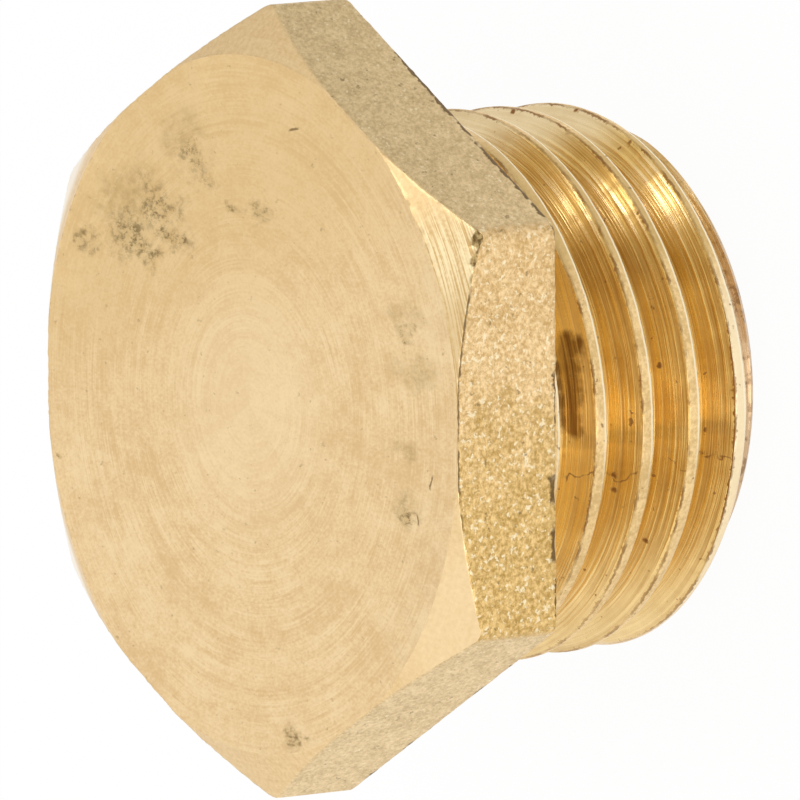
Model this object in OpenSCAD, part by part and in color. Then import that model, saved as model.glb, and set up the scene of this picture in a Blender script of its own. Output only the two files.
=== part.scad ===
// Hexagon-head pipe plug, forged and turned from one piece of brass.
// It stands on the end of its shank, with the head up and the axis on Z.

/* [Head] */
// Width of the hexagon across its flats
head_across_flats = 16; // [14:0.5:24]
// Height of the head, from the sealing face to the front face
head_height = 2.8; // [2:0.1:8]
// Rounding of the hexagon's six upright corners
head_corner_r = 0.4; // [0.1:0.1:2]
// Diameter of the flat front face inside the turned chamfer
front_face_d = 16.1; // [13:0.1:18]
// Slope of the turned chamfer, measured from the front face
front_chamfer_angle = 30; // [15:1:45]

/* [Thread] */
// Diameter over the thread's crests
thread_d = 12.91; // [9:0.01:13.5]
// Distance from one turn of the thread to the next
thread_pitch = 1.337; // [0.9:0.001:2]
// Depth of the thread groove below the crests
thread_depth = 0.73; // [0.3:0.01:1]
// Width of the flat crest between two turns of the groove
crest_width = 0.31; // [0.1:0.01:0.5]
// Width of the groove at its root
root_width = 0.2; // [0.05:0.01:0.3]
// Angle, seen from the head, at which the groove's middle leaves the end of the shank
thread_start_angle = 170; // [0:5:360]
// Part of a turn over which the groove grows shallow under the head
run_out_angle = 120; // [60:10:240]

/* [Shank] */
// Length of the shank, from its end to the sealing face under the head
shank_length = 7.5; // [5:0.1:20]
// Height of the plain collar between the thread and the head
collar_height = 0.5; // [0.3:0.1:3]
// Radial depth of the 45 degree chamfer at the end of the shank
end_chamfer = 0.9; // [0.3:0.05:2]

/* [Hidden] */
$fn = 96;
plug_height = shank_length + head_height;
head_corner_centre_r = (head_across_flats / 2 - head_corner_r) / cos(30);
head_reach_r = head_across_flats / 2 / cos(30) + 1;
front_face_r = front_face_d / 2;
front_chamfer_drop = (head_reach_r - front_face_r) * tan(front_chamfer_angle);
thread_r = thread_d / 2;
groove_mouth = thread_pitch - crest_width;
flank_slope = (groove_mouth - root_width) / 2 / thread_depth;
// How far the groove's section stands out beyond the crests, so that it cuts them cleanly
groove_clear = 0.25;
groove_half_root = root_width / 2;
groove_half_mouth = groove_mouth / 2 + groove_clear * flank_slope;
// Section of the groove as [depth below the crests, distance along the axis from its middle]
groove_section = [
    [-groove_clear, -groove_half_mouth],
    [thread_depth, -groove_half_root],
    [thread_depth, groove_half_root],
    [-groove_clear, groove_half_mouth]
];
groove_steps_per_turn = 48;
groove_first_turn = -0.75;
groove_last_turn = (shank_length - collar_height - groove_mouth / 2) / thread_pitch;
groove_steps = ceil((groove_last_turn - groove_first_turn) * groove_steps_per_turn);
// How far the head and the shank reach into each other
head_overlap = head_height / 2;

// Outline of the hexagon with true round corners: straight flats, and a disc in each corner.
module head_outline() {
    polygon([
        for (corner = [0:60:300], side = [-30, 30])
            head_corner_centre_r * [cos(corner), sin(corner)]
            + head_corner_r * [cos(corner + side), sin(corner + side)]
    ]);
    for (corner = [0:60:300])
        rotate(corner)
            translate([head_corner_centre_r, 0])
                circle(head_corner_r);
}

// Turned envelope of the head: a flat front face that falls away in a chamfer towards the corners.
module head_turning() {
    rotate_extrude()
        polygon([
            [0, 0],
            [head_reach_r, 0],
            [head_reach_r, head_height - front_chamfer_drop],
            [front_face_r, head_height],
            [0, head_height]
        ]);
}

module head() {
    translate([0, 0, shank_length])
        intersection() {
            linear_extrude(head_height)
                head_outline();
            head_turning();
        }
}

module shank() {
    rotate_extrude()
        polygon([
            [0, 0],
            [thread_r - end_chamfer, 0],
            [thread_r, end_chamfer],
            [thread_r, shank_length + head_overlap],
            [0, shank_length + head_overlap]
        ]);
}

// Radial lift of the groove's section at one place along the helix: none, then out past the crests.
function groove_lift(turn) =
    let (faded = 1 - (groove_last_turn - turn) * 360 / run_out_angle)
    max(0, faded) * (thread_depth + groove_clear);

// One point of the groove: a corner of the section carried to its place on the right-hand helix.
function groove_point(turn, corner) =
    let (
        r = thread_r - corner[0] + groove_lift(turn),
        angle = thread_start_angle + 360 * turn
    )
    [r * cos(angle), r * sin(angle), turn * thread_pitch + corner[1]];

module thread_groove() {
    corners = len(groove_section);
    turn_step = (groove_last_turn - groove_first_turn) / groove_steps;
    last_ring = groove_steps * corners;
    polyhedron(
        points = [
            for (step = [0:groove_steps], corner = groove_section)
                groove_point(groove_first_turn + step * turn_step, corner)
        ],
        faces = [
            [for (corner = [0:corners - 1]) corner],
            for (step = [0:groove_steps - 1], corner = [0:corners - 1])
                let (
                    a = step * corners + corner,
                    b = step * corners + (corner + 1) % corners
                )
                each [[a, a + corners, b], [b, a + corners, b + corners]],
            [for (corner = [corners - 1:-1:0]) last_ring + corner]
        ]
    );
}

module plug() {
    color([0.83, 0.66, 0.36])
        difference() {
            union() {
                head();
                shank();
            }
            thread_groove();
        }
}

plug();
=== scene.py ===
"""Looks of a hexagon-head brass plug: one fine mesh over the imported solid, its turned, blasted and
threaded brass finishes, and a plain white studio."""
import math

import bmesh
import bpy
from mathutils import Matrix, Quaternion, Vector, noise


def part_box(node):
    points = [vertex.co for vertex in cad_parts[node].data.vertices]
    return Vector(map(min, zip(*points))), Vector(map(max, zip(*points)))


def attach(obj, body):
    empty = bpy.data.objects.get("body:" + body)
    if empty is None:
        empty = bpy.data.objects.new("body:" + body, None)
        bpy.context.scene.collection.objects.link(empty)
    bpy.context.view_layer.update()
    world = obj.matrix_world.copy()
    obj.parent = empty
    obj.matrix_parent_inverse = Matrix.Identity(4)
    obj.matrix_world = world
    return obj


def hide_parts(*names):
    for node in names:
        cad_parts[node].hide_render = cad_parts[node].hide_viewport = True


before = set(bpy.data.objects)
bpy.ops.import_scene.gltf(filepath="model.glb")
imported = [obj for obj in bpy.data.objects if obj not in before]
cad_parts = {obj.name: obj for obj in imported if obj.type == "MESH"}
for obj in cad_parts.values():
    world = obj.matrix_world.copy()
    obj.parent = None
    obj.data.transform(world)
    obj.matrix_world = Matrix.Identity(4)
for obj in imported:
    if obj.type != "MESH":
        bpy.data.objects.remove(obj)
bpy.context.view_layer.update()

# Sizes of the plug in millimetres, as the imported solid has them
MM = 0.001
LOW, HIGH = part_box("plug")
ACROSS_FLATS = (HIGH.y - LOW.y) / MM
PLUG_HEIGHT = HIGH.z / MM
HEAD_HEIGHT = 2.8
SHANK_LENGTH = PLUG_HEIGHT - HEAD_HEIGHT
CORNER_R = 0.4
FRONT_FACE_R = 8.05
CHAMFER_SLOPE = math.tan(math.radians(30))
THREAD_R = 12.91 / 2
THREAD_PITCH = 1.337
THREAD_DEPTH = 0.73
CREST_WIDTH = 0.31
ROOT_WIDTH = 0.2
THREAD_START = 170.0
RUN_OUT = 120.0
COLLAR_HEIGHT = 0.5
END_CHAMFER = 0.9
GROOVE_MOUTH = THREAD_PITCH - CREST_WIDTH
GROOVE_LAST_TURN = (SHANK_LENGTH - COLLAR_HEIGHT - GROOVE_MOUTH / 2) / THREAD_PITCH

# Fineness of the mesh
CORNER_STEPS = 16
FLAT_STEPS = 130
FACE_RINGS = 5
CHAMFER_RINGS = 8
WALL_ROWS = 34
EDGE_ROUND = 0.05
LIP_WIDTH = 0.05
LIP_HEIGHT = 0.02
RAGGED_FRONT = 0.03
RAGGED_BACK = 0.02
SHANK_COLUMNS = 360
WELD = 0.0008

# Name of the attribute that counts the rows across the thread, and where its crests are widest
ROW_NAME = "section_row"
WIDE_CREST = math.radians(-100)

# Camera, from the photograph's view of the hexagon, the chamfers and the thread
VIEW_AZIMUTH = 8.698
VIEW_ELEVATION = 36.097
VIEW_ROLL = -95.43
VIEW_DISTANCE = 402.2
VIEW_RIGHT = 3.457
VIEW_UP = 0.107
VIEW_LENS = 789.3
SENSOR_WIDTH = 36

# Studio: the side that the surroundings are brighter on, and the floor's reach in metres,
# its drop below the plug in millimetres, its glow and the painted shade, a grey that only reflections see on
# the dark side
BRIGHT_SIDE = (-0.8, -0.3, 0.5)
FLOOR_HALF = 2.0
FLOOR_DROP = 0.02
FLOOR_GLOW = 0.95
FLOOR_MIRRORED_SHADE = 0.68
# Soft boxes: name, direction, distance, width and height in metres, roll in degrees and radiance
LAMPS = (
    ("side_box", (0.67, 0.03, 0.742), 0.5, 0.07, 0.26, -38.0, 3.6),
    ("front_box", (-0.15, -0.95, 0.25), 0.5, 0.22, 0.22, 0.0, 2.5),
)

# Wear and painted shade, as places on the plug in millimetres.
# Specks of grime and soft smudges on the front face: x, y and the patch's radius across.
# Along y the patches are drawn out
GRIME_DRAW = 0.6
FACE_GRIME = (
    (4.3, 3.6, 0.9),
    (3.5, 4.6, 0.75),
    (3.6, 2.9, 0.45),
    (3.0, 3.7, 0.35),
    (3.2, 6.4, 0.4),
    (5.4, 2.1, 0.65),
    (4.5, 0.6, 0.3),
    (4.5, -0.6, 0.45),
    (2.2, -6.3, 0.25),
    (-1.9, -6.3, 0.35),
    (-7.5, -1.5, 0.3),
    (-1.9, 7.7, 0.1),
)
FACE_SMUDGES = (
    (4.3, 4.4, 1.3),
    (6.0, 2.6, 0.8),
    (2.6, -6.1, 0.5),
    (1.3, -6.3, 0.7),
    (-0.4, -6.0, 0.45),
    (-1.7, -6.1, 0.6),
)
# Short scratches on the front face: x, y, direction in degrees and half length
FACE_SCRATCHES = (
    (6.5, -1.8, 104.0, 0.26),
    (-1.1, -7.0, -22.0, 0.22),
    (-2.0, -6.5, 10.0, 0.16),
)
# Tears in the chamfer's outer edge at one corner: x, y, half length, how far in and how far down
EDGE_TEARS = (
    (4.5, -7.97, 0.22, 0.18, 0.12),
    (4.05, -8.0, 0.2, 0.13, 0.07),
    (3.6, -8.0, 0.2, 0.06, 0.03),
)
# Nicks in the back edge of the coarse flat, cut into the mesh and painted dark as shade: x, half length and
# height
BACK_NICKS = (
    (1.1, 0.2, 0.1),
    (-1.4, 0.4, 0.17),
    (-2.65, 0.55, 0.13),
)
# Dark bits on the back edge of the flat beside it: x and y
BACK_BITS = (
    (-8.7, -1.0),
    (-7.9, -2.4),
    (-6.3, -5.1),
)
# Direction in which the grain of the finer flats is drawn out
GRAIN_DRAW = (0.12, -0.8, 0.59)
# Brown specks on the thread: place and radius
THREAD_SPECKS = (
    ((0.9, -5.8, 2.9), 0.09),
    ((-0.7, -5.75, 1.55), 0.08),
    ((-1.55, -5.7, 4.1), 0.1),
    ((-1.9, -5.65, 4.1), 0.09),
    ((-3.25, -5.0, 2.7), 0.1),
    ((-3.9, -5.0, 5.1), 0.06),
    ((-6.15, -1.6, 1.0), 0.08),
    ((6.3, -0.2, 2.9), 0.1),
    ((6.3, -0.8, 1.5), 0.12),
    ((5.7, -2.8, 1.5), 0.12),
)
# Painted shade in the first groove, dark streaks beside the head: the two places that it runs between, and
# its radius
GROOVE_SHADE = ((1.5, -5.8, 5.55), (-0.2, -5.9, 5.5), 0.45)


class Wire:
    """An output socket that takes part in arithmetic: each operator adds one Math node to its tree."""

    def __init__(self, bench, socket):
        self.bench = bench
        self.socket = socket

    def math(self, operation, *rest):
        return self.bench.math(operation, self, *rest)

    def __add__(self, other):
        return self.math("ADD", other)

    def __sub__(self, other):
        return self.math("SUBTRACT", other)

    def __rsub__(self, other):
        return self.bench.math("SUBTRACT", other, self)

    def __mul__(self, other):
        return self.math("MULTIPLY", other)

    def __truediv__(self, other):
        return self.math("DIVIDE", other)

    def __mod__(self, other):
        return self.math("FLOORED_MODULO", other)

    def __pow__(self, other):
        return self.math("POWER", other)

    def __abs__(self):
        return self.math("ABSOLUTE")

    __radd__ = __add__
    __rmul__ = __mul__


class Bench:
    """A node tree under construction, of shader or geometry nodes."""

    def __init__(self, tree):
        self.tree = tree
        tree.nodes.clear()

    def node(self, kind, settings=None, sockets=(), out=0):
        """Adds one node: its settings first, then the values or links of its sockets."""
        made = self.tree.nodes.new(kind)
        for name, value in (settings or {}).items():
            setattr(made, name, value)
        pairs = sockets.items() if isinstance(sockets, dict) else enumerate(sockets)
        for key, value in pairs:
            if isinstance(value, Wire):
                self.tree.links.new(value.socket, made.inputs[key])
            else:
                made.inputs[key].default_value = value
        return Wire(self, made.outputs[out]) if len(made.outputs) else None

    def math(self, operation, *values):
        return self.node("ShaderNodeMath", {"operation": operation}, values)

    def most(self, masks):
        """The greatest of several masks."""
        total = masks[0]
        for mask in masks[1:]:
            total = self.math("MAXIMUM", total, mask)
        return total

    def vector(self, operation, *values, out=0):
        return self.node("ShaderNodeVectorMath", {"operation": operation}, values, out)

    def join(self, x, y, z):
        return self.node("ShaderNodeCombineXYZ", None, (x, y, z))

    def split(self, vector):
        first = self.node("ShaderNodeSeparateXYZ", None, (vector,))
        return [Wire(self, socket) for socket in first.socket.node.outputs]

    def noise(self, vector, scale, detail=2.0, roughness=0.5, shift=0.0):
        """Smooth noise round 0.5; the shift picks another stretch of it."""
        if shift:
            vector = self.vector("ADD", vector, (shift, shift, shift))
        sockets = {"Vector": vector, "Scale": scale, "Detail": detail, "Roughness": roughness}
        return self.node("ShaderNodeTexNoise", None, sockets)

    def frayed(self, place, scale, amount):
        """The place pushed about by noise, which frays the masks that are made from it."""
        sockets = {"Vector": place, "Scale": scale, "Detail": 3.0}
        push = self.node("ShaderNodeTexNoise", None, sockets, "Color")
        centred = self.vector("SUBTRACT", push, (0.5, 0.5, 0.5))
        return self.vector("MULTIPLY_ADD", centred, (amount, amount, amount), place)

    def ramp(self, value, low, high, start=0.0, end=1.0):
        """Goes smoothly from start to end as the value goes from low to high, and stays there."""
        settings = {"interpolation_type": "SMOOTHSTEP"}
        return self.node("ShaderNodeMapRange", settings, (value, low, high, start, end))

    def disc(self, place, centre, inner, outer):
        """1 within the inner distance of a point, falling to 0 at the outer one."""
        away = self.vector("DISTANCE", place, centre, out="Value")
        return self.ramp(away, inner, outer, 1.0, 0.0)

    def mix(self, mask, first, second):
        """Colour that goes from the first to the second as the mask goes from 0 to 1."""
        settings = {"data_type": "RGBA"}
        return self.node("ShaderNodeMix", settings, {0: mask, 6: first, 7: second}, 2)

    def bump(self, height, distance, normal=None):
        sockets = {"Distance": distance, "Height": height}
        if normal is not None:
            sockets["Normal"] = normal
        return self.node("ShaderNodeBump", None, sockets)

    def millimetres(self):
        """Object coordinates as a vector in millimetres."""
        spot = self.node("ShaderNodeTexCoord", None, (), "Object")
        return self.vector("SCALE", spot, (0, 0, 0), (0, 0, 0), 1 / MM)


def brass(name, paint):
    """A brass finish: paint writes its nodes and returns the shader's sockets."""
    material = bpy.data.materials.new(name)
    material.use_nodes = True
    bench = Bench(material.node_tree)
    sockets = {"Metallic": 1.0, "Specular IOR Level": 0.05}
    sockets.update(paint(bench))
    shader = bench.node("ShaderNodeBsdfPrincipled", None, sockets)
    bench.node("ShaderNodeOutputMaterial", None, (shader,))
    return material


def turned_place(bench):
    """Place on a turned surface: millimetres, their three parts, and the reach from the axis."""
    spot = bench.millimetres()
    x, y, z = bench.split(spot)
    reach = bench.vector("LENGTH", bench.join(x, y, 0.0), out="Value")
    return spot, x, y, z, reach


def scratch(bench, x, y, mark):
    """Mask of one short scratch on the front face."""
    across, up, degrees, half = mark
    turn = math.radians(degrees)
    along = (x - across) * math.cos(turn) + (y - up) * math.sin(turn)
    aside = (y - up) * math.cos(turn) - (x - across) * math.sin(turn)
    return bench.ramp(abs(along), half * 0.5, half, 1.0, 0.0) * bench.ramp(abs(aside), 0.015, 0.05, 1.0, 0.0)


def chamfer_height(bench, reach):
    """Height of the turned front over a place, as front_height has it for the mesh."""
    return bench.math("MAXIMUM", reach - FRONT_FACE_R, 0.0) * -CHAMFER_SLOPE + PLUG_HEIGHT


def paint_front_face(bench):
    _, x, y, _, reach = turned_place(bench)
    flat = bench.join(x, y * GRIME_DRAW, 0.0)
    haze = bench.noise(flat, 0.6, 4.0, 0.6)
    mottle = bench.noise(flat, 3.0, 4.0, 0.65)
    grain = bench.noise(flat, 14.0, 2.0, 0.6)
    # The tool's rings show only in broken arcs, and fade out towards the middle
    patchy = bench.ramp(bench.noise(flat, 0.7, 3.0, 0.6, 40.0), 0.4, 0.6) * bench.ramp(reach, 0.6, 2.0)
    broad_rings = bench.noise(bench.join(reach * 4.2, x * 0.22, y * 0.22), 1.0, 3.0, 0.65)
    fine_rings = bench.noise(bench.join(reach * 18.0, x * 0.4, y * 0.4), 1.0, 2.0, 0.6)
    rings = (broad_rings - 0.5) * (patchy * 0.26 + 0.05) + (fine_rings - 0.5) * (patchy * 0.2 + 0.12)
    tone = haze * 0.4 + mottle * 0.3 + grain * 0.3 + rings
    colour = bench.mix(bench.ramp(tone, 0.36, 0.64), (0.79, 0.55, 0.275, 1), (0.95, 0.725, 0.415, 1))
    yellowed = bench.ramp(x + y * 0.35 + haze * 5.0 + mottle * 1.5, 3.5, 8.5)
    colour = bench.mix(yellowed * 0.45, colour, (0.76, 0.525, 0.225, 1))
    # Painted highlight: paler towards the middle of the face
    colour = bench.mix(bench.ramp(reach, 1.0, 4.0, 0.4, 0.0), colour, (0.97, 0.76, 0.46, 1))

    # Grime: olive smudges, patches of dark specks, and short scratches
    frayed = bench.frayed(flat, 1.8, 1.3)

    def patches(places):
        return bench.most([
            bench.disc(frayed, (px, py * GRIME_DRAW, 0.0), size * 0.2, size) for px, py, size in places
        ])

    patch = patches(FACE_GRIME)
    smudge = bench.most([patches(FACE_SMUDGES), patch])
    clotted = bench.ramp(bench.noise(flat, 3.2, 4.0, 0.7, 12.0), 0.38, 0.58)
    specks = bench.ramp(bench.noise(flat, 5.5, 5.0, 0.76), 0.45, 0.59)
    stray = bench.ramp(bench.noise(flat, 5.5, 3.0, 0.6, 20.0), 0.64, 0.76)
    torn_flat = bench.split(bench.frayed(bench.join(x, y, 0.0), 6.0, 0.16))
    scratches = bench.most([scratch(bench, torn_flat[0], torn_flat[1], mark) for mark in FACE_SCRATCHES])
    clouded = bench.mix(smudge * (clotted * 0.3 + 0.18), colour, (0.52, 0.36, 0.14, 1))
    specked = specks * (clotted * 0.45 + 0.4) * bench.most([patch, smudge * 0.2])
    dark = bench.most([specked, stray * 0.4, scratches * 0.8])
    colour = bench.mix(dark, clouded, (0.16, 0.1, 0.032, 1))
    height = broad_rings * patchy * 0.4 + fine_rings * 0.3 + grain * 0.3
    return {
        "Base Color": colour,
        "Metallic": 1.0 - dark * 0.7,
        "Roughness": bench.ramp(tone, 0.3, 0.7, 0.47, 0.38),
        "Normal": bench.bump(height, 0.004 * MM),
    }


def paint_front_chamfer(bench):
    spot, x, y, z, reach = turned_place(bench)
    fine = bench.noise(bench.join(reach * 26.0, x * 0.4, y * 0.4), 1.0, 2.0, 0.6)
    broad = bench.noise(bench.join(reach * 9.0, x * 0.25, y * 0.25), 1.0, 2.0, 0.5)
    grain = bench.noise(spot, 9.0, 3.0, 0.65)
    # One corner kept its tool marks, the others were rubbed smooth
    sharp = bench.disc(spot, (2.9, -7.8, 10.1), 1.4, 2.8)
    lines = (fine - 0.5) * (sharp * 0.9 + 0.08) + (broad - 0.5) * (sharp * 0.2 + 0.1)
    tone = lines + (grain - 0.5) * 0.3
    colour = bench.mix(bench.ramp(tone, -0.16, 0.16), (0.7, 0.475, 0.215, 1), (0.93, 0.7, 0.39, 1))
    marked = bench.mix(bench.ramp(tone, -0.16, 0.12), (0.66, 0.43, 0.18, 1), (1.0, 0.82, 0.49, 1))
    colour = bench.mix(sharp, colour, marked)
    # Painted highlights: paler where it runs out thin on the far side and at one corner; browner between the
    # tool marks
    painted_pale_edge = bench.ramp(y, 4.0, 6.0) * bench.ramp(reach, 8.3, 8.8)
    colour = bench.mix(painted_pale_edge * 0.85, colour, (1.0, 0.93, 0.82, 1))
    painted_bright_corner = bench.disc(spot, (-4.6, -7.8, 9.8), 1.2, 3.0)
    colour = bench.mix(painted_bright_corner * 0.4, colour, (0.97, 0.76, 0.46, 1))
    colour = bench.mix(bench.disc(spot, (2.2, -7.95, 10.2), 0.5, 1.7) * 0.45, colour, (0.6, 0.375, 0.14, 1))
    # Dark torn metal with painted shade where the outer edge broke away at one corner: the dark brown stands
    # for the shadowed gap under the torn edge
    below = bench.ramp(chamfer_height(bench, reach) - z, 0.01, 0.035)
    torn = below * bench.disc(spot, (4.3, -7.97, 9.7), 0.75, 0.95)
    torn_shade_colour = bench.mix(bench.ramp(grain, 0.36, 0.62), (0.15, 0.09, 0.03, 1), (0.5, 0.35, 0.15, 1))
    colour = bench.mix(torn, colour, torn_shade_colour)
    return {
        "Base Color": colour,
        "Metallic": 1.0 - torn * 0.6,
        "Roughness": 0.36,
        "Normal": bench.bump(lines + grain * 0.08, 0.009 * MM),
    }


def paint_blasted_flat(bench):
    spot, x, y, z, reach = turned_place(bench)
    # The flat towards -Y is blasted with the coarsest grit
    coarse = bench.ramp(y, -7.95, -7.75, 1.0, 0.0)
    # The grain of the other flats is drawn out one way
    along = bench.vector("DOT_PRODUCT", spot, GRAIN_DRAW, out="Value")
    pull = bench.vector("SCALE", GRAIN_DRAW, (0, 0, 0), (0, 0, 0), along * -0.45)
    drawn = bench.vector("ADD", spot, pull)
    fine_grain = bench.noise(drawn, 11.0, 4.0, 0.7)
    fine_clouds = bench.noise(drawn, 2.6, 4.0, 0.65, 5.0)
    coarse_grain = bench.noise(spot, 8.5, 3.0, 0.7, 5.04)
    coarse_clouds = bench.noise(spot, 1.8, 4.0, 0.65)
    fine_tone = (fine_grain - 0.5) * 0.7 + (fine_clouds - 0.5) * 0.4
    coarse_tone = (coarse_grain - 0.5) * 1.1 + (coarse_clouds - 0.5) * 0.4
    fine_colour = bench.mix(bench.ramp(fine_tone, -0.2, 0.2), (0.62, 0.452, 0.223, 1), (0.93, 0.71, 0.39, 1))
    coarse_share = bench.ramp(coarse_tone, -0.24, 0.24)
    coarse_colour = bench.mix(coarse_share, (0.63, 0.405, 0.16, 1), (0.98, 0.725, 0.395, 1))
    # The lower half of the coarse flat is yellower, in patches
    yellow = bench.ramp(x + coarse_clouds * 6.0, 5.0, 1.0)
    yellow_colour = bench.mix(coarse_share, (0.5, 0.31, 0.085, 1), (0.93, 0.655, 0.285, 1))
    coarse_colour = bench.mix(yellow, coarse_colour, yellow_colour)
    colour = bench.mix(coarse, fine_colour, coarse_colour)
    # Painted glints: pale specks that stand for the grit's facets catching light
    painted_glints = bench.ramp(bench.noise(spot, 8.0, 2.0, 0.55, 30.04) + coarse * 0.05, 0.63, 0.73)
    colour = bench.mix(painted_glints * 0.8, colour, (1.0, 0.86, 0.58, 1))
    pits = bench.ramp(bench.noise(drawn, 5.5, 3.0, 0.65, 60.0), 0.63, 0.72)
    colour = bench.mix(pits * 0.65, colour, (0.24, 0.16, 0.07, 1))

    # Painted shade: dark ragged lines under the front edge and along the back edge, and dark nicks in the
    # back edge, standing for the shade in the gaps there
    fray = bench.noise(spot, 5.0, 3.0, 0.65, 80.0) - 0.5
    shade_under_front = bench.ramp(chamfer_height(bench, reach) - z + fray * 0.12, 0.03, 0.08, 1.0, 0.0)
    broken = bench.noise(spot, 1.3, 2.0, 0.6, 90.0)
    front_shade_line = shade_under_front * coarse * bench.ramp(x, -2.6, -1.6) * bench.ramp(broken, 0.36, 0.5)
    upper_side = bench.ramp(x, 4.4, 4.9) * bench.ramp(y, -1.6, -2.6)
    height = z - SHANK_LENGTH + fray * 0.3
    at_back = bench.ramp(height - upper_side * 0.07, 0.04, 0.07, 1.0, 0.0)
    back_shade_line = at_back * bench.ramp(broken + upper_side * 0.2, 0.54, 0.6)
    marks = [front_shade_line * 0.85, back_shade_line * 0.9]
    for middle, half, tall in BACK_NICKS:
        beside = bench.ramp(abs(x - middle + fray * 0.6), half * 0.5, half, 0.9, 0.0)
        marks.append(bench.ramp(height, tall, tall * 1.4, 1.0, 0.0) * beside * coarse)
    for bit_x, bit_y in BACK_BITS:
        low_strip = bench.ramp(height, 0.05, 0.13, 0.9, 0.0)
        marks.append(bench.disc(spot, (bit_x, bit_y, SHANK_LENGTH), 0.12, 0.36) * low_strip)
    dark = bench.most(marks)
    colour = bench.mix(dark, colour, (0.12, 0.068, 0.024, 1))
    relief = fine_grain * (1 - coarse) * 0.3 + coarse_grain * coarse
    return {
        "Base Color": colour,
        "Metallic": 1.0 - dark * 0.85,
        "Roughness": bench.ramp(fine_tone, -0.2, 0.2, 0.52, 0.4),
        "Normal": bench.bump(relief, 0.036 * MM),
    }


def thread_place(bench):
    """Place on the thread: millimetres, x, z, bearing in degrees, share of a pitch, and section row."""
    spot = bench.millimetres()
    x, y, z = bench.split(spot)
    turn = bench.math("ARCTAN2", y, x) / math.tau
    phase = bench.math("FRACT", z / THREAD_PITCH - turn + THREAD_START / 360)
    row = bench.node("ShaderNodeAttribute", {"attribute_name": ROW_NAME}, (), "Fac")
    return spot, x, z, turn * 360.0, phase, row


def thread_dirt(bench, spot):
    """Mask of the brown specks on the thread."""
    frayed = bench.frayed(spot, 6.0, 0.18)
    marks = [bench.disc(frayed, place, size * 0.4, size) for place, size in THREAD_SPECKS]
    small = bench.ramp(bench.noise(spot, 4.5, 2.0, 0.5, 15.0), 0.69, 0.75)
    return bench.most(marks + [small * 0.8])


def on_front(bench, bearing):
    """1 on the thread's side towards -Y, 0 on the other."""
    return bench.ramp(bearing, 0.0, -20.0) * bench.ramp(bearing, -180.0, -160.0)


def cross_scratch(bench, spot, x, bearing):
    """Mask of one thin broken scratch that runs across the thread's turns."""
    wavy = bench.noise(spot, 0.9, 3.0, 0.65, 25.0) * 1.3
    broken = bench.ramp(bench.noise(spot, 3.0, 2.0, 0.5, 65.0), 0.43, 0.55)
    return bench.ramp(abs(x + 0.85 + wavy), 0.01, 0.035, 0.8, 0.0) * broken * on_front(bench, bearing)


def end_stain(bench, spot, x, z, colour):
    """The colour, turned pinkish and spotted with brown on the chamfer at the end of the shank."""
    at_end = bench.ramp(z, END_CHAMFER - 0.08, END_CHAMFER + 0.04, 1.0, 0.0)
    at_end = at_end * bench.ramp(x, 2.0, 4.5, 0.9, 0.35)
    spots = bench.ramp(bench.noise(spot, 3.6, 3.0, 0.65, 33.0), 0.5, 0.62)
    pinkish = bench.mix(spots * 0.75, (0.66, 0.46, 0.28, 1), (0.24, 0.13, 0.07, 1))
    strip = bench.mix(bench.ramp(z, END_CHAMFER * 0.4, END_CHAMFER * 0.7), pinkish, (0.9, 0.7, 0.45, 1))
    return bench.mix(at_end, colour, strip)


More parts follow.
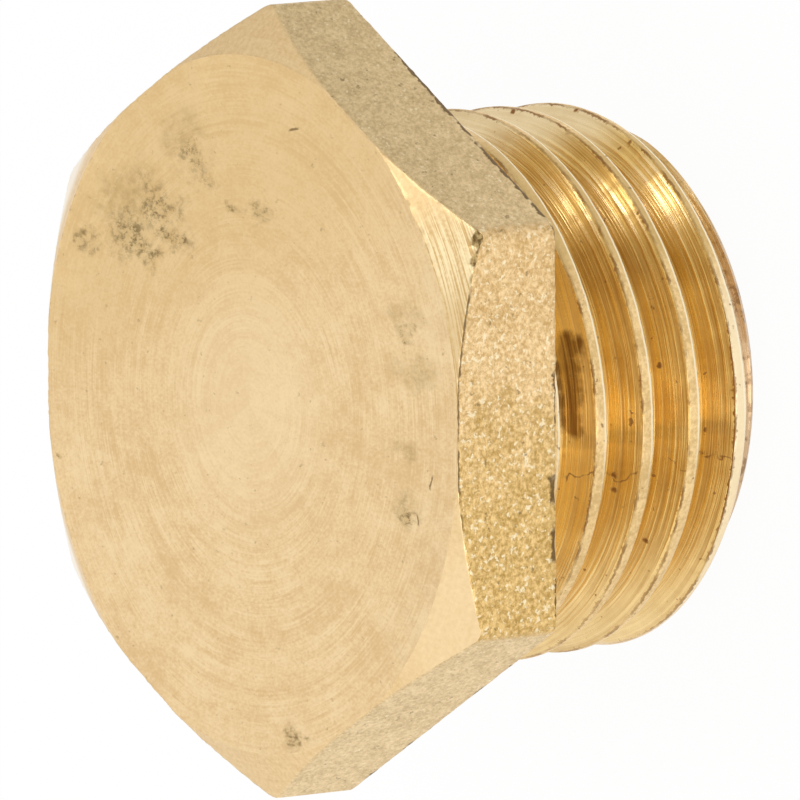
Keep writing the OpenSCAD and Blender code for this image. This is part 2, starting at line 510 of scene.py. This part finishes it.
def paint_thread_flank(bench):
    spot, x, z, bearing, phase, row = thread_place(bench)
    drift = bearing * 0.025
    fine = bench.noise(bench.join(phase * 48.0, drift, z * 0.4), 1.0, 2.0, 0.6)
    middling = bench.noise(bench.join(phase * 22.0, drift * 0.8, z * 0.4), 1.0, 2.0, 0.6)
    haze = bench.noise(spot, 1.1, 4.0, 0.6)
    # The tool's lines are fainter on the upper and the lower side
    upper = bench.ramp(abs(bearing), 10.0, 28.0, 1.0, 0.0)
    lower = bench.ramp(x, -5.8, -1.5, 0.9, 0.0)
    lines = ((fine - 0.5) * 0.45 + (middling - 0.5) * 0.65) * (1.0 - (upper + lower) * 0.6)
    tone = lines + (haze - 0.5) * 0.35
    deep = bench.ramp(abs(row), 4.5, 9.5)
    colour = bench.mix(bench.ramp(tone, -0.17, 0.17), (0.53, 0.3, 0.072, 1), (0.88, 0.61, 0.215, 1))
    colour = bench.mix(deep * 0.4, colour, (0.86, 0.6, 0.22, 1))
    # Painted light: paler on those two sides, a painted highlight in a patch below the upper one, and
    # painted shade in a band below that patch
    painted_highlight = bench.ramp(bearing + lines * 40.0, -52.0, -46.0) * bench.ramp(bearing, -28.0, -36.0)
    painted_highlight = painted_highlight * bench.ramp(lines, -0.03, 0.06)
    shaded = bench.ramp(bearing, -68.0, -58.0) * bench.ramp(bearing, -46.0, -53.0)
    colour = bench.mix(shaded * 0.35, colour, (0.47, 0.27, 0.06, 1))
    painted_pale_colour = bench.mix(bench.ramp(tone, -0.17, 0.17), (0.77, 0.55, 0.255, 1), (0.95, 0.72, 0.385, 1))
    painted_upper_colour = bench.mix(bench.ramp(tone, -0.17, 0.17), (0.82, 0.62, 0.33, 1), (1.0, 0.8, 0.48, 1))
    colour = bench.mix(bench.most([lower * 0.75, painted_highlight * 0.85]), colour, painted_pale_colour)
    colour = bench.mix(upper, colour, painted_upper_colour)
    # Painted light: brighter in the first groove, which lies in the head's shade
    painted_bright_groove = bench.ramp(z, 5.0, 5.5) * bench.ramp(abs(bearing), 20.0, 60.0)
    colour = bench.mix(painted_bright_groove * 0.5, colour, (0.97, 0.71, 0.3, 1))
    # A faint grey band across the front, a brown line along the crest's edge, specks, and painted shade in
    # the first groove
    band = bench.ramp(abs(x + 0.6 + haze * 0.1), 0.1, 0.22, 0.25, 0.0) * on_front(bench, bearing)
    colour = bench.mix(band, colour, (0.36, 0.25, 0.1, 1))
    fray = bench.noise(spot, 7.0, 3.0, 0.65, 50.0) - 0.5
    patchy = bench.ramp(bench.noise(spot, 1.6, 2.0, 0.5, 70.0), 0.42, 0.62)
    crest_edge_brown = bench.ramp(row + fray * 3.0, 3.5, 3.95, 1.0, 0.0) * bench.ramp(row, 0.0, 1.0)
    # It is thickest on the last crest's front
    thick = bench.ramp(z, 2.1, 1.8) * bench.ramp(x, -4.5, -2.5) * bench.ramp(x, 3.0, 1.5)
    crest_edge_brown = crest_edge_brown * bench.most([patchy * 0.6 + 0.25, thick * 0.95])
    crest_edge_brown = crest_edge_brown * bench.ramp(x, -5.0, -2.5, 0.6, 1.0)
    # Painted shade: dark streaks in the first groove beside the head
    first, last, size = GROOVE_SHADE
    frayed = bench.frayed(spot, 2.5, 0.5)
    groove_shade_patch = bench.most([
        bench.disc(frayed, Vector(first).lerp(Vector(last), step / 4), size * 0.5, size) for step in range(5)
    ])
    streaked_shade = groove_shade_patch * bench.ramp(lines, 0.16, -0.1, 0.5, 0.95)
    colour = bench.mix(streaked_shade, colour, (0.19, 0.085, 0.016, 1))
    dirt = bench.most([crest_edge_brown, thread_dirt(bench, spot) * 0.95, cross_scratch(bench, spot, x, bearing)])
    colour = bench.mix(dirt, colour, (0.24, 0.09, 0.015, 1))
    return {
        "Base Color": end_stain(bench, spot, x, z, colour),
        "Metallic": 1.0 - dirt * 0.75,
        "Roughness": bench.ramp(lines, -0.1, 0.08, 0.38, 0.2),
        "Anisotropic": 0.75,
        "Anisotropic Rotation": 0.25,
        "Normal": bench.bump(lines, 0.042 * MM),
    }


def paint_thread_crest(bench):
    spot, x, z, bearing, _, row = thread_place(bench)
    grain = bench.noise(spot, 9.0, 3.0, 0.7)
    clouds = bench.noise(spot, 1.2, 2.0, 0.5)
    tone = (grain - 0.5) * 0.9 + (clouds - 0.5) * 0.4
    colour = bench.mix(bench.ramp(tone, -0.18, 0.18), (0.7, 0.48, 0.205, 1), (0.96, 0.7, 0.35, 1))
    # Painted shade: darker on the crests in a band on the upper side
    painted_shade_band = bench.ramp(bearing, -64.0, -54.0) * bench.ramp(bearing, -18.0, -28.0)
    colour = bench.mix(painted_shade_band * 0.7, colour, (0.62, 0.425, 0.16, 1))
    last_turn = bench.ramp(z, 1.9, 2.3, 1.0, 0.0) * bench.ramp(x, 3.6, 1.6)
    colour = bench.mix(last_turn * 0.8, colour, (0.99, 0.83, 0.56, 1))
    # Painted highlight on the edge towards the end of the shank; brown on the edge towards the head
    painted_highlight = bench.ramp(row, -1.2, -2.0) * bench.ramp(x, -2.5, 0.0)
    colour = bench.mix(painted_highlight * 0.9, colour, (1.0, 0.9, 0.66, 1))
    fray = bench.noise(spot, 7.0, 3.0, 0.65, 50.0) - 0.5
    patchy = bench.ramp(bench.noise(spot, 1.6, 2.0, 0.5, 70.0), 0.42, 0.62)
    crest_edge_brown = bench.ramp(row + fray * 3.0, 2.0, 2.6) * (patchy * 0.55 + 0.2)
    dirt = bench.most([crest_edge_brown, thread_dirt(bench, spot) * 0.85])
    colour = bench.mix(dirt, colour, (0.18, 0.085, 0.026, 1))
    colour = end_stain(bench, spot, x, z, colour)
    return {
        "Base Color": colour,
        "Metallic": 1.0 - dirt * 0.75,
        "Roughness": 0.42,
        "Normal": bench.bump(grain, 0.014 * MM),
    }


def paint_faced_underside(bench):
    spot, x, y, _, reach = turned_place(bench)
    rings = bench.noise(bench.join(reach * 8.0, x * 0.15, y * 0.15), 1.0, 3.0, 0.6)
    haze = bench.noise(spot, 0.8, 4.0, 0.6)
    tone = rings * 0.6 + haze * 0.4
    colour = bench.mix(bench.ramp(tone, 0.36, 0.64), (0.68, 0.45, 0.19, 1), (0.82, 0.58, 0.28, 1))
    return {
        "Base Color": colour,
        "Roughness": bench.ramp(haze, 0.3, 0.7, 0.3, 0.4),
        "Normal": bench.bump(rings, 0.006 * MM),
    }


FINISHES = {
    "front_face": brass("front_face", paint_front_face),
    "front_chamfer": brass("front_chamfer", paint_front_chamfer),
    "blasted_flat": brass("blasted_flat", paint_blasted_flat),
    "faced_underside": brass("faced_underside", paint_faced_underside),
    "thread_crest": brass("thread_crest", paint_thread_crest),
    "thread_flank": brass("thread_flank", paint_thread_flank),
}
FINISH_INDEX = {name: index for index, name in enumerate(FINISHES)}


# Rows across one turn of the groove, as pairs of a stretch's name and its number of rows
GROOVE_ROWS = (("crest", 2), ("edge", 2), ("flank", 5), ("root", 4), ("flank", 5), ("edge", 2), ("crest", 2))
ROWS_PER_TURN = sum(count for name, count in GROOVE_ROWS)
GROOVE_LAPS = 8
FIRST_LAP = -1


def shank_tree():
    """Geometry nodes of the threaded shank: a grid whose rows follow the helix of the groove."""
    tree = bpy.data.node_groups.new("threaded_shank", "GeometryNodeTree")
    face = tree.interface
    face.new_socket("Geometry", in_out="OUTPUT", socket_type="NodeSocketGeometry")
    sizes = {
        "Crest radius": THREAD_R,
        "Pitch": THREAD_PITCH,
        "Depth": THREAD_DEPTH,
        "Crest width": CREST_WIDTH,
        "Least crest share": 0.68,
        "Root width": ROOT_WIDTH,
        "Edge round": EDGE_ROUND,
        "Start turn": THREAD_START / 360,
        "Last turn": GROOVE_LAST_TURN,
        "Run out": RUN_OUT / 360,
        "Shank length": SHANK_LENGTH,
        "Crest waver": 0.03,
        "Wide stretch": 0.16,
        "Taper start": 5.4,
        "Taper": 0.03,
        "Columns": float(SHANK_COLUMNS),
    }
    for name in sizes:
        face.new_socket(name, in_out="INPUT", socket_type="NodeSocketFloat")
    for name in ("Crest finish", "Flank finish"):
        face.new_socket(name, in_out="INPUT", socket_type="NodeSocketMaterial")
    bench = Bench(tree)
    first = bench.node("NodeGroupInput")
    size = {socket.name: Wire(bench, socket) for socket in first.socket.node.outputs if socket.name}
    columns = size["Columns"]
    pitch = size["Pitch"]
    rows = ROWS_PER_TURN * GROOVE_LAPS
    grid = bench.node("GeometryNodeMeshGrid", None, {"Vertices X": rows + 1, "Vertices Y": columns + 1.0})
    index = bench.node("GeometryNodeInputIndex")

    def strip(per_row):
        """Row of the grid and its place along the section, counted by points or by faces."""
        row = bench.math("FLOOR", (index + 0.5) / per_row)
        return row, row % ROWS_PER_TURN

    row, step = strip(columns + 1.0)
    share = (index - row * (columns + 1.0)) / columns
    turn = bench.math("FLOOR", (row + 0.5) / ROWS_PER_TURN) + FIRST_LAP + share
    angle = (turn + size["Start turn"]) * math.tau
    east = bench.math("COSINE", angle)
    north = bench.math("SINE", angle)
    # The thread was cut a little off the head's axis, and its first turns are a little smaller
    level = turn * pitch
    loss = bench.math("MAXIMUM", (size["Taper start"] - level) * size["Taper"], 0.0)
    aside = bench.node("ShaderNodeMapRange", None, (level, 1.6, 4.0, 0.01, -0.05))
    radius = size["Crest radius"] - loss * (north + 1.0) + aside * east
    crest_line = bench.join(east * radius, north * radius, level)

    # The two crest edges wander a little, each in its own way
    def waver(shift):
        moved = bench.vector("ADD", crest_line, (shift, 0.0, 0.0))
        broad = bench.noise(moved, 1.6, 4.0, 0.7)
        return (broad - 0.5) * 2.0 * size["Crest waver"]

    facing = bench.math("MAXIMUM", east * math.cos(WIDE_CREST) + north * math.sin(WIDE_CREST), 0.0)
    least = size["Least crest share"]
    half = size["Crest width"] / 2 * (least + (1.02 - least) * facing ** 6.0)
    # The crest is wider on a short stretch beside the head, where the tool had yet to reach its depth
    beside_head = bench.ramp(turn, 4.33, 4.4) * bench.ramp(turn, 4.55, 4.48)
    half_crest = {0: half + waver(11.0) + beside_head * size["Wide stretch"], 1: half + waver(37.0)}
    half_root = size["Root width"] / 2
    rounding = size["Edge round"]
    along = pitch * -0.5
    down = bench.math("MULTIPLY", 0.0, 0.0)
    start = 0
    for number, (name, count) in enumerate(GROOVE_ROWS):
        side = 0 if number < 3 else 1
        t = bench.node("ShaderNodeMapRange", None, (step, float(start), float(start + count), 0.0, 1.0))
        flank_run = pitch * 0.5 - half_crest[side] - half_root
        lean = rounding / size["Depth"]
        if name == "crest":
            along = along + t * (half_crest[side] - rounding)
        elif name == "root":
            along = along + t * size["Root width"]
        elif name == "flank":
            way = 1.0 if side == 0 else -1.0
            along = along + t * flank_run * (1.0 - lean)
            down = down + t * (size["Depth"] - rounding) * way
        elif side == 0:
            eased = 1.0 - (1.0 - t) ** 2.0
            along = along + eased * rounding + t ** 2.0 * flank_run * lean
            down = down + t ** 2.0 * rounding
        else:
            eased = 1.0 - (1.0 - t) ** 2.0
            along = along + t ** 2.0 * rounding + eased * flank_run * lean
            down = down - eased * rounding
        start += count
    faded = bench.math("MAXIMUM", 1.0 - (size["Last turn"] - turn) / size["Run out"], 0.0)
    lift = faded * (size["Depth"] + 0.25)
    out = bench.math("MINIMUM", radius, radius - down + lift)
    # It reaches below the end of the shank, where add_shank cuts it off
    height = bench.math("MINIMUM", level + along, size["Shank length"])
    place = bench.join(east * out, north * out, height)

    face_row, face_step = strip(columns)
    flat_rows = sum(count for name, count in GROOVE_ROWS[:2])
    middle = bench.math("ABSOLUTE", face_step + 0.5 - ROWS_PER_TURN / 2)
    on_crest = bench.math("GREATER_THAN", middle, ROWS_PER_TURN / 2 - flat_rows + 0.5)
    marked = bench.node(
        "GeometryNodeStoreNamedAttribute",
        {"data_type": "FLOAT", "domain": "FACE"},
        {"Geometry": grid, "Name": "on_crest", "Value": on_crest},
    )
    # Rows count from the crest's middle: up towards the head, down towards the end of the shank
    signed_row = step - bench.math("GREATER_THAN", step, ROWS_PER_TURN / 2) * ROWS_PER_TURN
    # Where the groove runs out, what it leaves uncut is plain
    sunk = bench.math("GREATER_THAN", radius - out, 0.004)
    in_thread = bench.math("LESS_THAN", turn, size["Last turn"] - size["Run out"])
    cut = bench.math("MAXIMUM", sunk, in_thread)
    numbered = bench.node(
        "GeometryNodeStoreNamedAttribute",
        {"data_type": "FLOAT", "domain": "POINT"},
        {"Geometry": marked, "Name": ROW_NAME, "Value": signed_row * cut},
    )
    told = bench.node(
        "GeometryNodeStoreNamedAttribute",
        {"data_type": "FLOAT", "domain": "POINT"},
        {"Geometry": numbered, "Name": "cut", "Value": cut},
    )
    placed = bench.node("GeometryNodeSetPosition", None, {"Geometry": told, "Position": place})
    welded = bench.node("GeometryNodeMergeByDistance", None, {"Geometry": placed, "Distance": WELD})
    real = bench.node("GeometryNodeRealizeInstances", None, {"Geometry": welded})
    flank = bench.node("GeometryNodeSetMaterial", None, {"Geometry": real, "Material": size["Flank finish"]})
    crest_mark = bench.node("GeometryNodeInputNamedAttribute", {"data_type": "FLOAT"}, {"Name": "on_crest"})
    cut_mark = bench.node("GeometryNodeInputNamedAttribute", {"data_type": "FLOAT"}, {"Name": "cut"})
    plain = bench.math("MAXIMUM", crest_mark, 1.0 - cut_mark)
    chosen = bench.node("FunctionNodeCompare", {"operation": "GREATER_THAN"}, {0: plain, 1: 0.4})
    crest = bench.node(
        "GeometryNodeSetMaterial",
        None,
        {"Geometry": flank, "Selection": chosen, "Material": size["Crest finish"]},
    )
    bench.node("NodeGroupOutput", None, {"Geometry": crest})
    return tree, sizes


def shank_mesh():
    """Plain mesh of the threaded shank in millimetres, open at its two round ends."""
    tree, sizes = shank_tree()
    holder = bpy.data.objects.new("shank_holder", bpy.data.meshes.new("shank_holder"))
    bpy.context.scene.collection.objects.link(holder)
    modifier = holder.modifiers.new("threaded_shank", "NODES")
    modifier.node_group = tree
    values = dict(sizes)
    values["Crest finish"] = FINISHES["thread_crest"]
    values["Flank finish"] = FINISHES["thread_flank"]
    for item in tree.interface.items_tree:
        if item.name in values:
            modifier[item.identifier] = values[item.name]
    graph = bpy.context.evaluated_depsgraph_get()
    mesh = bpy.data.meshes.new_from_object(holder.evaluated_get(graph))
    holder.modifiers.remove(modifier)
    bpy.data.objects.remove(holder)
    for name in ("on_crest", "cut"):
        mesh.attributes.remove(mesh.attributes[name])
    return mesh


def polar(radius, degrees, z):
    turn = math.radians(degrees)
    return Vector((radius * math.cos(turn), radius * math.sin(turn), z))


def hexagon_outline():
    """Points round the hexagon: six round corners joined by straight flats."""
    centre_r = (ACROSS_FLATS / 2 - CORNER_R) / math.cos(math.radians(30))
    points = []
    for corner in range(0, 360, 60):
        centre = polar(centre_r, corner, 0)
        turns = [corner - 30 + 60 * s / CORNER_STEPS for s in range(CORNER_STEPS + 1)]
        arc = [centre + polar(CORNER_R, turn, 0) for turn in turns]
        far = polar(centre_r, corner + 60, 0) + polar(CORNER_R, corner + 30, 0)
        points += arc
        points += [arc[-1].lerp(far, s / FLAT_STEPS) for s in range(1, FLAT_STEPS)]
    return points


def front_height(radius):
    """Height of the turned front: flat face, then the chamfer that falls away towards the corners."""
    return PLUG_HEIGHT - max(0.0, radius - FRONT_FACE_R) * CHAMFER_SLOPE


def wander(seed, spot, scale, octaves=2):
    """Smooth noise from about -1 to 1 at a place on the plug, the same on each run."""
    return noise.fractal(spot * scale + Vector((seed, -seed, 2 * seed)), 1.0, 2.0, octaves)


def torn(point):
    """How far in and how far down the chamfer's outer edge has broken away at a point of the outline."""
    inward = down = 0.0
    for x, y, half, cut, drop in EDGE_TEARS:
        near = min(1.0, max(0.0, 1.5 - 1.5 * math.hypot(point.x - x, point.y - y) / half))
        inward = max(inward, cut * near)
        down = max(down, drop * near)
    return inward, down


def nicked(point):
    """How far up the back edge is nicked at a point of the outline."""
    if point.y > 0.01 - ACROSS_FLATS / 2:
        return 0.0
    return max(tall * 0.35 * max(0.0, 1 - abs(point.x - x) / half) for x, half, tall in BACK_NICKS)


def head_columns():
    """For each point of the outline, the points from the front face's middle down to the sealing face."""
    columns = []
    for point in hexagon_outline():
        reach = point.length
        out = point / reach
        rim = reach - EDGE_ROUND
        face_end = min(FRONT_FACE_R, rim)
        chamfer = rim - face_end
        column = []
        for ring in range(1, FACE_RINGS + 1):
            radius = (face_end - LIP_WIDTH) * ring / FACE_RINGS
            column.append(("front_face", out * radius + Vector((0, 0, PLUG_HEIGHT))))
        # A low ragged burr where the chamfer tool left the front face
        lip = LIP_HEIGHT * min(1.0, chamfer / 0.3) * (0.5 + wander(5.7, point, 5.0, 3))
        column.append(("front_face", out * face_end + Vector((0, 0, PLUG_HEIGHT + lip))))
        inward, down = torn(point)
        for ring in range(1, CHAMFER_RINGS + 1):
            radius = face_end + (chamfer - inward) * ring / CHAMFER_RINGS
            column.append(("front_chamfer", out * radius + Vector((0, 0, front_height(radius)))))
        top = front_height(reach) - down + RAGGED_FRONT * wander(3.1, point, 5.0, 3)
        inner = out * rim + Vector((0, 0, front_height(rim) - down))
        corner = point + Vector((0, 0, top))
        lower = point + Vector((0, 0, top - EDGE_ROUND))
        column.append(("front_chamfer", (inner + corner * 2 + lower) / 4))
        low = SHANK_LENGTH + EDGE_ROUND + RAGGED_BACK * wander(9.3, point, 4.0, 3) + nicked(point)
        for row in range(WALL_ROWS + 1):
            z = lower.z + (low - lower.z) * row / WALL_ROWS
            column.append(("blasted_flat", point + Vector((0, 0, z))))
        turned_in = out * (reach - EDGE_ROUND / 3)
        column.append(("blasted_flat", turned_in + Vector((0, 0, low - EDGE_ROUND * 2 / 3))))
        column.append(("faced_underside", out * (reach - EDGE_ROUND) + Vector((0, 0, SHANK_LENGTH))))
        columns.append(column)
    return columns


def add_face(mesh, finish, *corners):
    """Adds a face, leaving out corners that are the same vertex."""
    kept = []
    for corner in corners:
        if corner not in kept:
            kept.append(corner)
    if len(kept) > 2:
        made = mesh.faces.new(kept)
        made.material_index = FINISH_INDEX[finish]
        made.smooth = True


def around(vertex):
    return math.atan2(vertex.co.y, vertex.co.x)


def zip_rings(mesh, outer, inner, finish):
    """Fills the flat band between two rings that have different numbers of vertices."""
    outer = sorted(outer, key=around)
    inner = sorted(inner, key=around)
    i = j = 0
    while i < len(outer) or j < len(inner):
        a, b = outer[i % len(outer)], inner[j % len(inner)]
        next_a, next_b = outer[(i + 1) % len(outer)], inner[(j + 1) % len(inner)]
        turn_a = around(next_a) + math.tau * ((i + 1) // len(outer))
        turn_b = around(next_b) + math.tau * ((j + 1) // len(inner))
        if j >= len(inner) or (i < len(outer) and turn_a <= turn_b):
            add_face(mesh, finish, a, next_a, b)
            i += 1
        else:
            add_face(mesh, finish, a, next_b, b)
            j += 1


def add_head(mesh):
    """Adds the hexagon head and returns the outer ring of its sealing face."""
    columns = head_columns()
    made = [[mesh.verts.new(spot) for finish, spot in column] for column in columns]
    middle = mesh.verts.new((0, 0, PLUG_HEIGHT))
    for number, column in enumerate(columns):
        here, beyond = made[number - 1], made[number]
        add_face(mesh, "front_face", middle, here[0], beyond[0])
        for row in range(1, len(column)):
            add_face(mesh, column[row][0], here[row - 1], here[row], beyond[row], beyond[row - 1])
    return [column[-1] for column in made]


def add_shank(mesh):
    """Adds the threaded shank with its chamfered end, and returns its ring in the sealing face."""
    plain = shank_mesh()
    named = [material.name if material else "thread_flank" for material in plain.materials]
    mesh.from_mesh(plain)
    bpy.data.meshes.remove(plain)
    for face in mesh.faces:
        face.material_index = FINISH_INDEX[named[face.material_index]]
        face.smooth = True
    for level in (0.0, END_CHAMFER):
        parts = [*mesh.verts, *mesh.edges, *mesh.faces]
        bmesh.ops.bisect_plane(
            mesh, geom=parts, plane_co=(0, 0, level), plane_no=(0, 0, 1), dist=1e-5, clear_inner=level == 0.0
        )
    for vertex in mesh.verts:
        limit = THREAD_R - (END_CHAMFER - vertex.co.z)
        reach = math.hypot(vertex.co.x, vertex.co.y)
        if vertex.co.z < END_CHAMFER - 1e-6 and reach > limit:
            vertex.co.x *= limit / reach
            vertex.co.y *= limit / reach
    end_ring = sorted((v for v in mesh.verts if v.is_boundary and v.co.z < WELD), key=around)
    ring = end_ring
    for share in (0.7, 0.35):
        inner = [mesh.verts.new((v.co.x * share, v.co.y * share, 0)) for v in end_ring]
        for number in range(len(ring)):
            before = number - 1
            add_face(mesh, "faced_underside", ring[before], inner[before], inner[number], ring[number])
        ring = inner
    middle = mesh.verts.new((0, 0, 0))
    for number in range(len(ring)):
        add_face(mesh, "faced_underside", ring[number - 1], middle, ring[number])
    return [v for v in mesh.verts if v.is_boundary and abs(v.co.z - SHANK_LENGTH) < 1e-4]


def make_plug():
    """The whole plug as one closed mesh, in metres."""
    mesh = bmesh.new()
    shank_ring = add_shank(mesh)
    head_ring = add_head(mesh)
    zip_rings(mesh, head_ring, shank_ring, "faced_underside")
    bmesh.ops.remove_doubles(mesh, verts=mesh.verts, dist=WELD)
    bmesh.ops.dissolve_degenerate(mesh, edges=mesh.edges, dist=WELD / 4)
    bmesh.ops.recalc_face_normals(mesh, faces=mesh.faces)
    bmesh.ops.scale(mesh, vec=(MM, MM, MM), verts=mesh.verts)
    open_edges = sum(1 for edge in mesh.edges if not edge.is_manifold)
    triangles = sum(len(face.verts) - 2 for face in mesh.faces)
    print("plug mesh:", triangles, "triangles,", open_edges, "open edges")
    data = bpy.data.meshes.new("plug_body")
    mesh.to_mesh(data)
    mesh.free()
    for material in FINISHES.values():
        data.materials.append(material)
    data.set_sharp_from_angle(angle=math.radians(40))
    piece = bpy.data.objects.new("plug_body", data)
    bpy.context.scene.collection.objects.link(piece)
    return piece


plug = make_plug()
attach(plug, "root")
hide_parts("plug")


def add_camera():
    """Camera at the photograph's viewing angle, turned so that the plug's axis lies across the picture."""
    azimuth, elevation, roll = (math.radians(a) for a in (VIEW_AZIMUTH, VIEW_ELEVATION, VIEW_ROLL))
    level = math.cos(elevation)
    back = Vector((math.sin(azimuth) * level, -math.cos(azimuth) * level, math.sin(elevation)))
    side = Vector((math.cos(azimuth), math.sin(azimuth), 0))
    upright = back.cross(side)
    right = side * math.cos(roll) + upright * math.sin(roll)
    up = back.cross(right)
    place = Vector((0, 0, PLUG_HEIGHT)) + back * VIEW_DISTANCE + right * VIEW_RIGHT + up * VIEW_UP
    data = bpy.data.cameras.new("camera")
    data.lens = VIEW_LENS
    data.sensor_width = SENSOR_WIDTH
    camera = bpy.data.objects.new("camera", data)
    camera.matrix_world = Matrix.Translation(place * MM) @ Matrix((right, up, back)).transposed().to_4x4()
    bpy.context.scene.collection.objects.link(camera)
    bpy.context.scene.camera = camera


def add_lamp(name, towards, distance, wide, tall, roll, radiance):
    """A soft box that faces the plug's middle from a direction in the plug's frame."""
    data = bpy.data.lights.new(name, "AREA")
    data.shape = "RECTANGLE"
    data.size = wide
    data.size_y = tall
    data.energy = radiance * math.pi * wide * tall
    lamp = bpy.data.objects.new(name, data)
    aim = Vector(towards).normalized()
    lamp.location = aim * distance + Vector((0, 0, PLUG_HEIGHT / 2 * MM))
    lamp.rotation_mode = "QUATERNION"
    lamp.rotation_quaternion = aim.to_track_quat("Z", "Y") @ Quaternion((0, 0, 1), math.radians(roll))
    bpy.context.scene.collection.objects.link(lamp)


def add_world():
    """Even white surroundings, a little brighter from one side and a little darker from the other."""
    world = bpy.data.worlds.new("studio")
    world.use_nodes = True
    bench = Bench(world.node_tree)
    direction = bench.node("ShaderNodeTexCoord", None, (), "Generated")
    lean = bench.vector("DOT_PRODUCT", direction, BRIGHT_SIDE, out="Value")
    light = bench.node("ShaderNodeBackground", None, {"Color": (1, 1, 1, 1), "Strength": lean * 0.2 + 0.9})
    bench.node("ShaderNodeOutputWorld", None, (light,))
    bpy.context.scene.world = world


def add_floor():
    """White floor that keeps a soft shadow; on the dark side a stretch of it is painted grey for glossy rays
    only, as painted shade that the plug mirrors.
    """
    mesh = bpy.data.meshes.new("floor")
    half = FLOOR_HALF
    low = -FLOOR_DROP * MM
    corners = [(-half, -half, low), (half, -half, low), (half, half, low), (-half, half, low)]
    mesh.from_pydata(corners, [], [(0, 1, 2, 3)])
    white = bpy.data.materials.new("white_floor")
    white.use_nodes = True
    bench = Bench(white.node_tree)
    x, y, z = bench.split(bench.millimetres())
    # Painted shade: a grey stretch on the dark side that only glossy rays see
    mirrored_shade = bench.ramp(x - y * 0.12, 12.0, 18.0)
    path = bench.node("ShaderNodeLightPath", None, (), "Is Camera Ray")
    rays = {socket.name: Wire(bench, socket) for socket in path.socket.node.outputs}
    seen = bench.most([rays["Is Camera Ray"], rays["Is Glossy Ray"], rays["Is Transmission Ray"]])
    lit = bench.node("ShaderNodeBsdfDiffuse", None, {"Color": (0.95, 0.95, 0.95, 1)})
    mirrored_shade_tone = (FLOOR_MIRRORED_SHADE, FLOOR_MIRRORED_SHADE, FLOOR_MIRRORED_SHADE, 1)
    tone = bench.mix(mirrored_shade * rays["Is Glossy Ray"], (1, 1, 1, 1), mirrored_shade_tone)
    glow = bench.node("ShaderNodeEmission", None, {"Color": tone})
    shader = bench.node("ShaderNodeMixShader", None, (seen * FLOOR_GLOW, lit, glow))
    bench.node("ShaderNodeOutputMaterial", None, (shader,))
    mesh.materials.append(white)
    floor = bpy.data.objects.new("floor", mesh)
    bpy.context.scene.collection.objects.link(floor)


add_camera()
add_world()
add_floor()
for box in LAMPS:
    add_lamp(*box)
bpy.context.scene.view_settings.view_transform = "Standard"
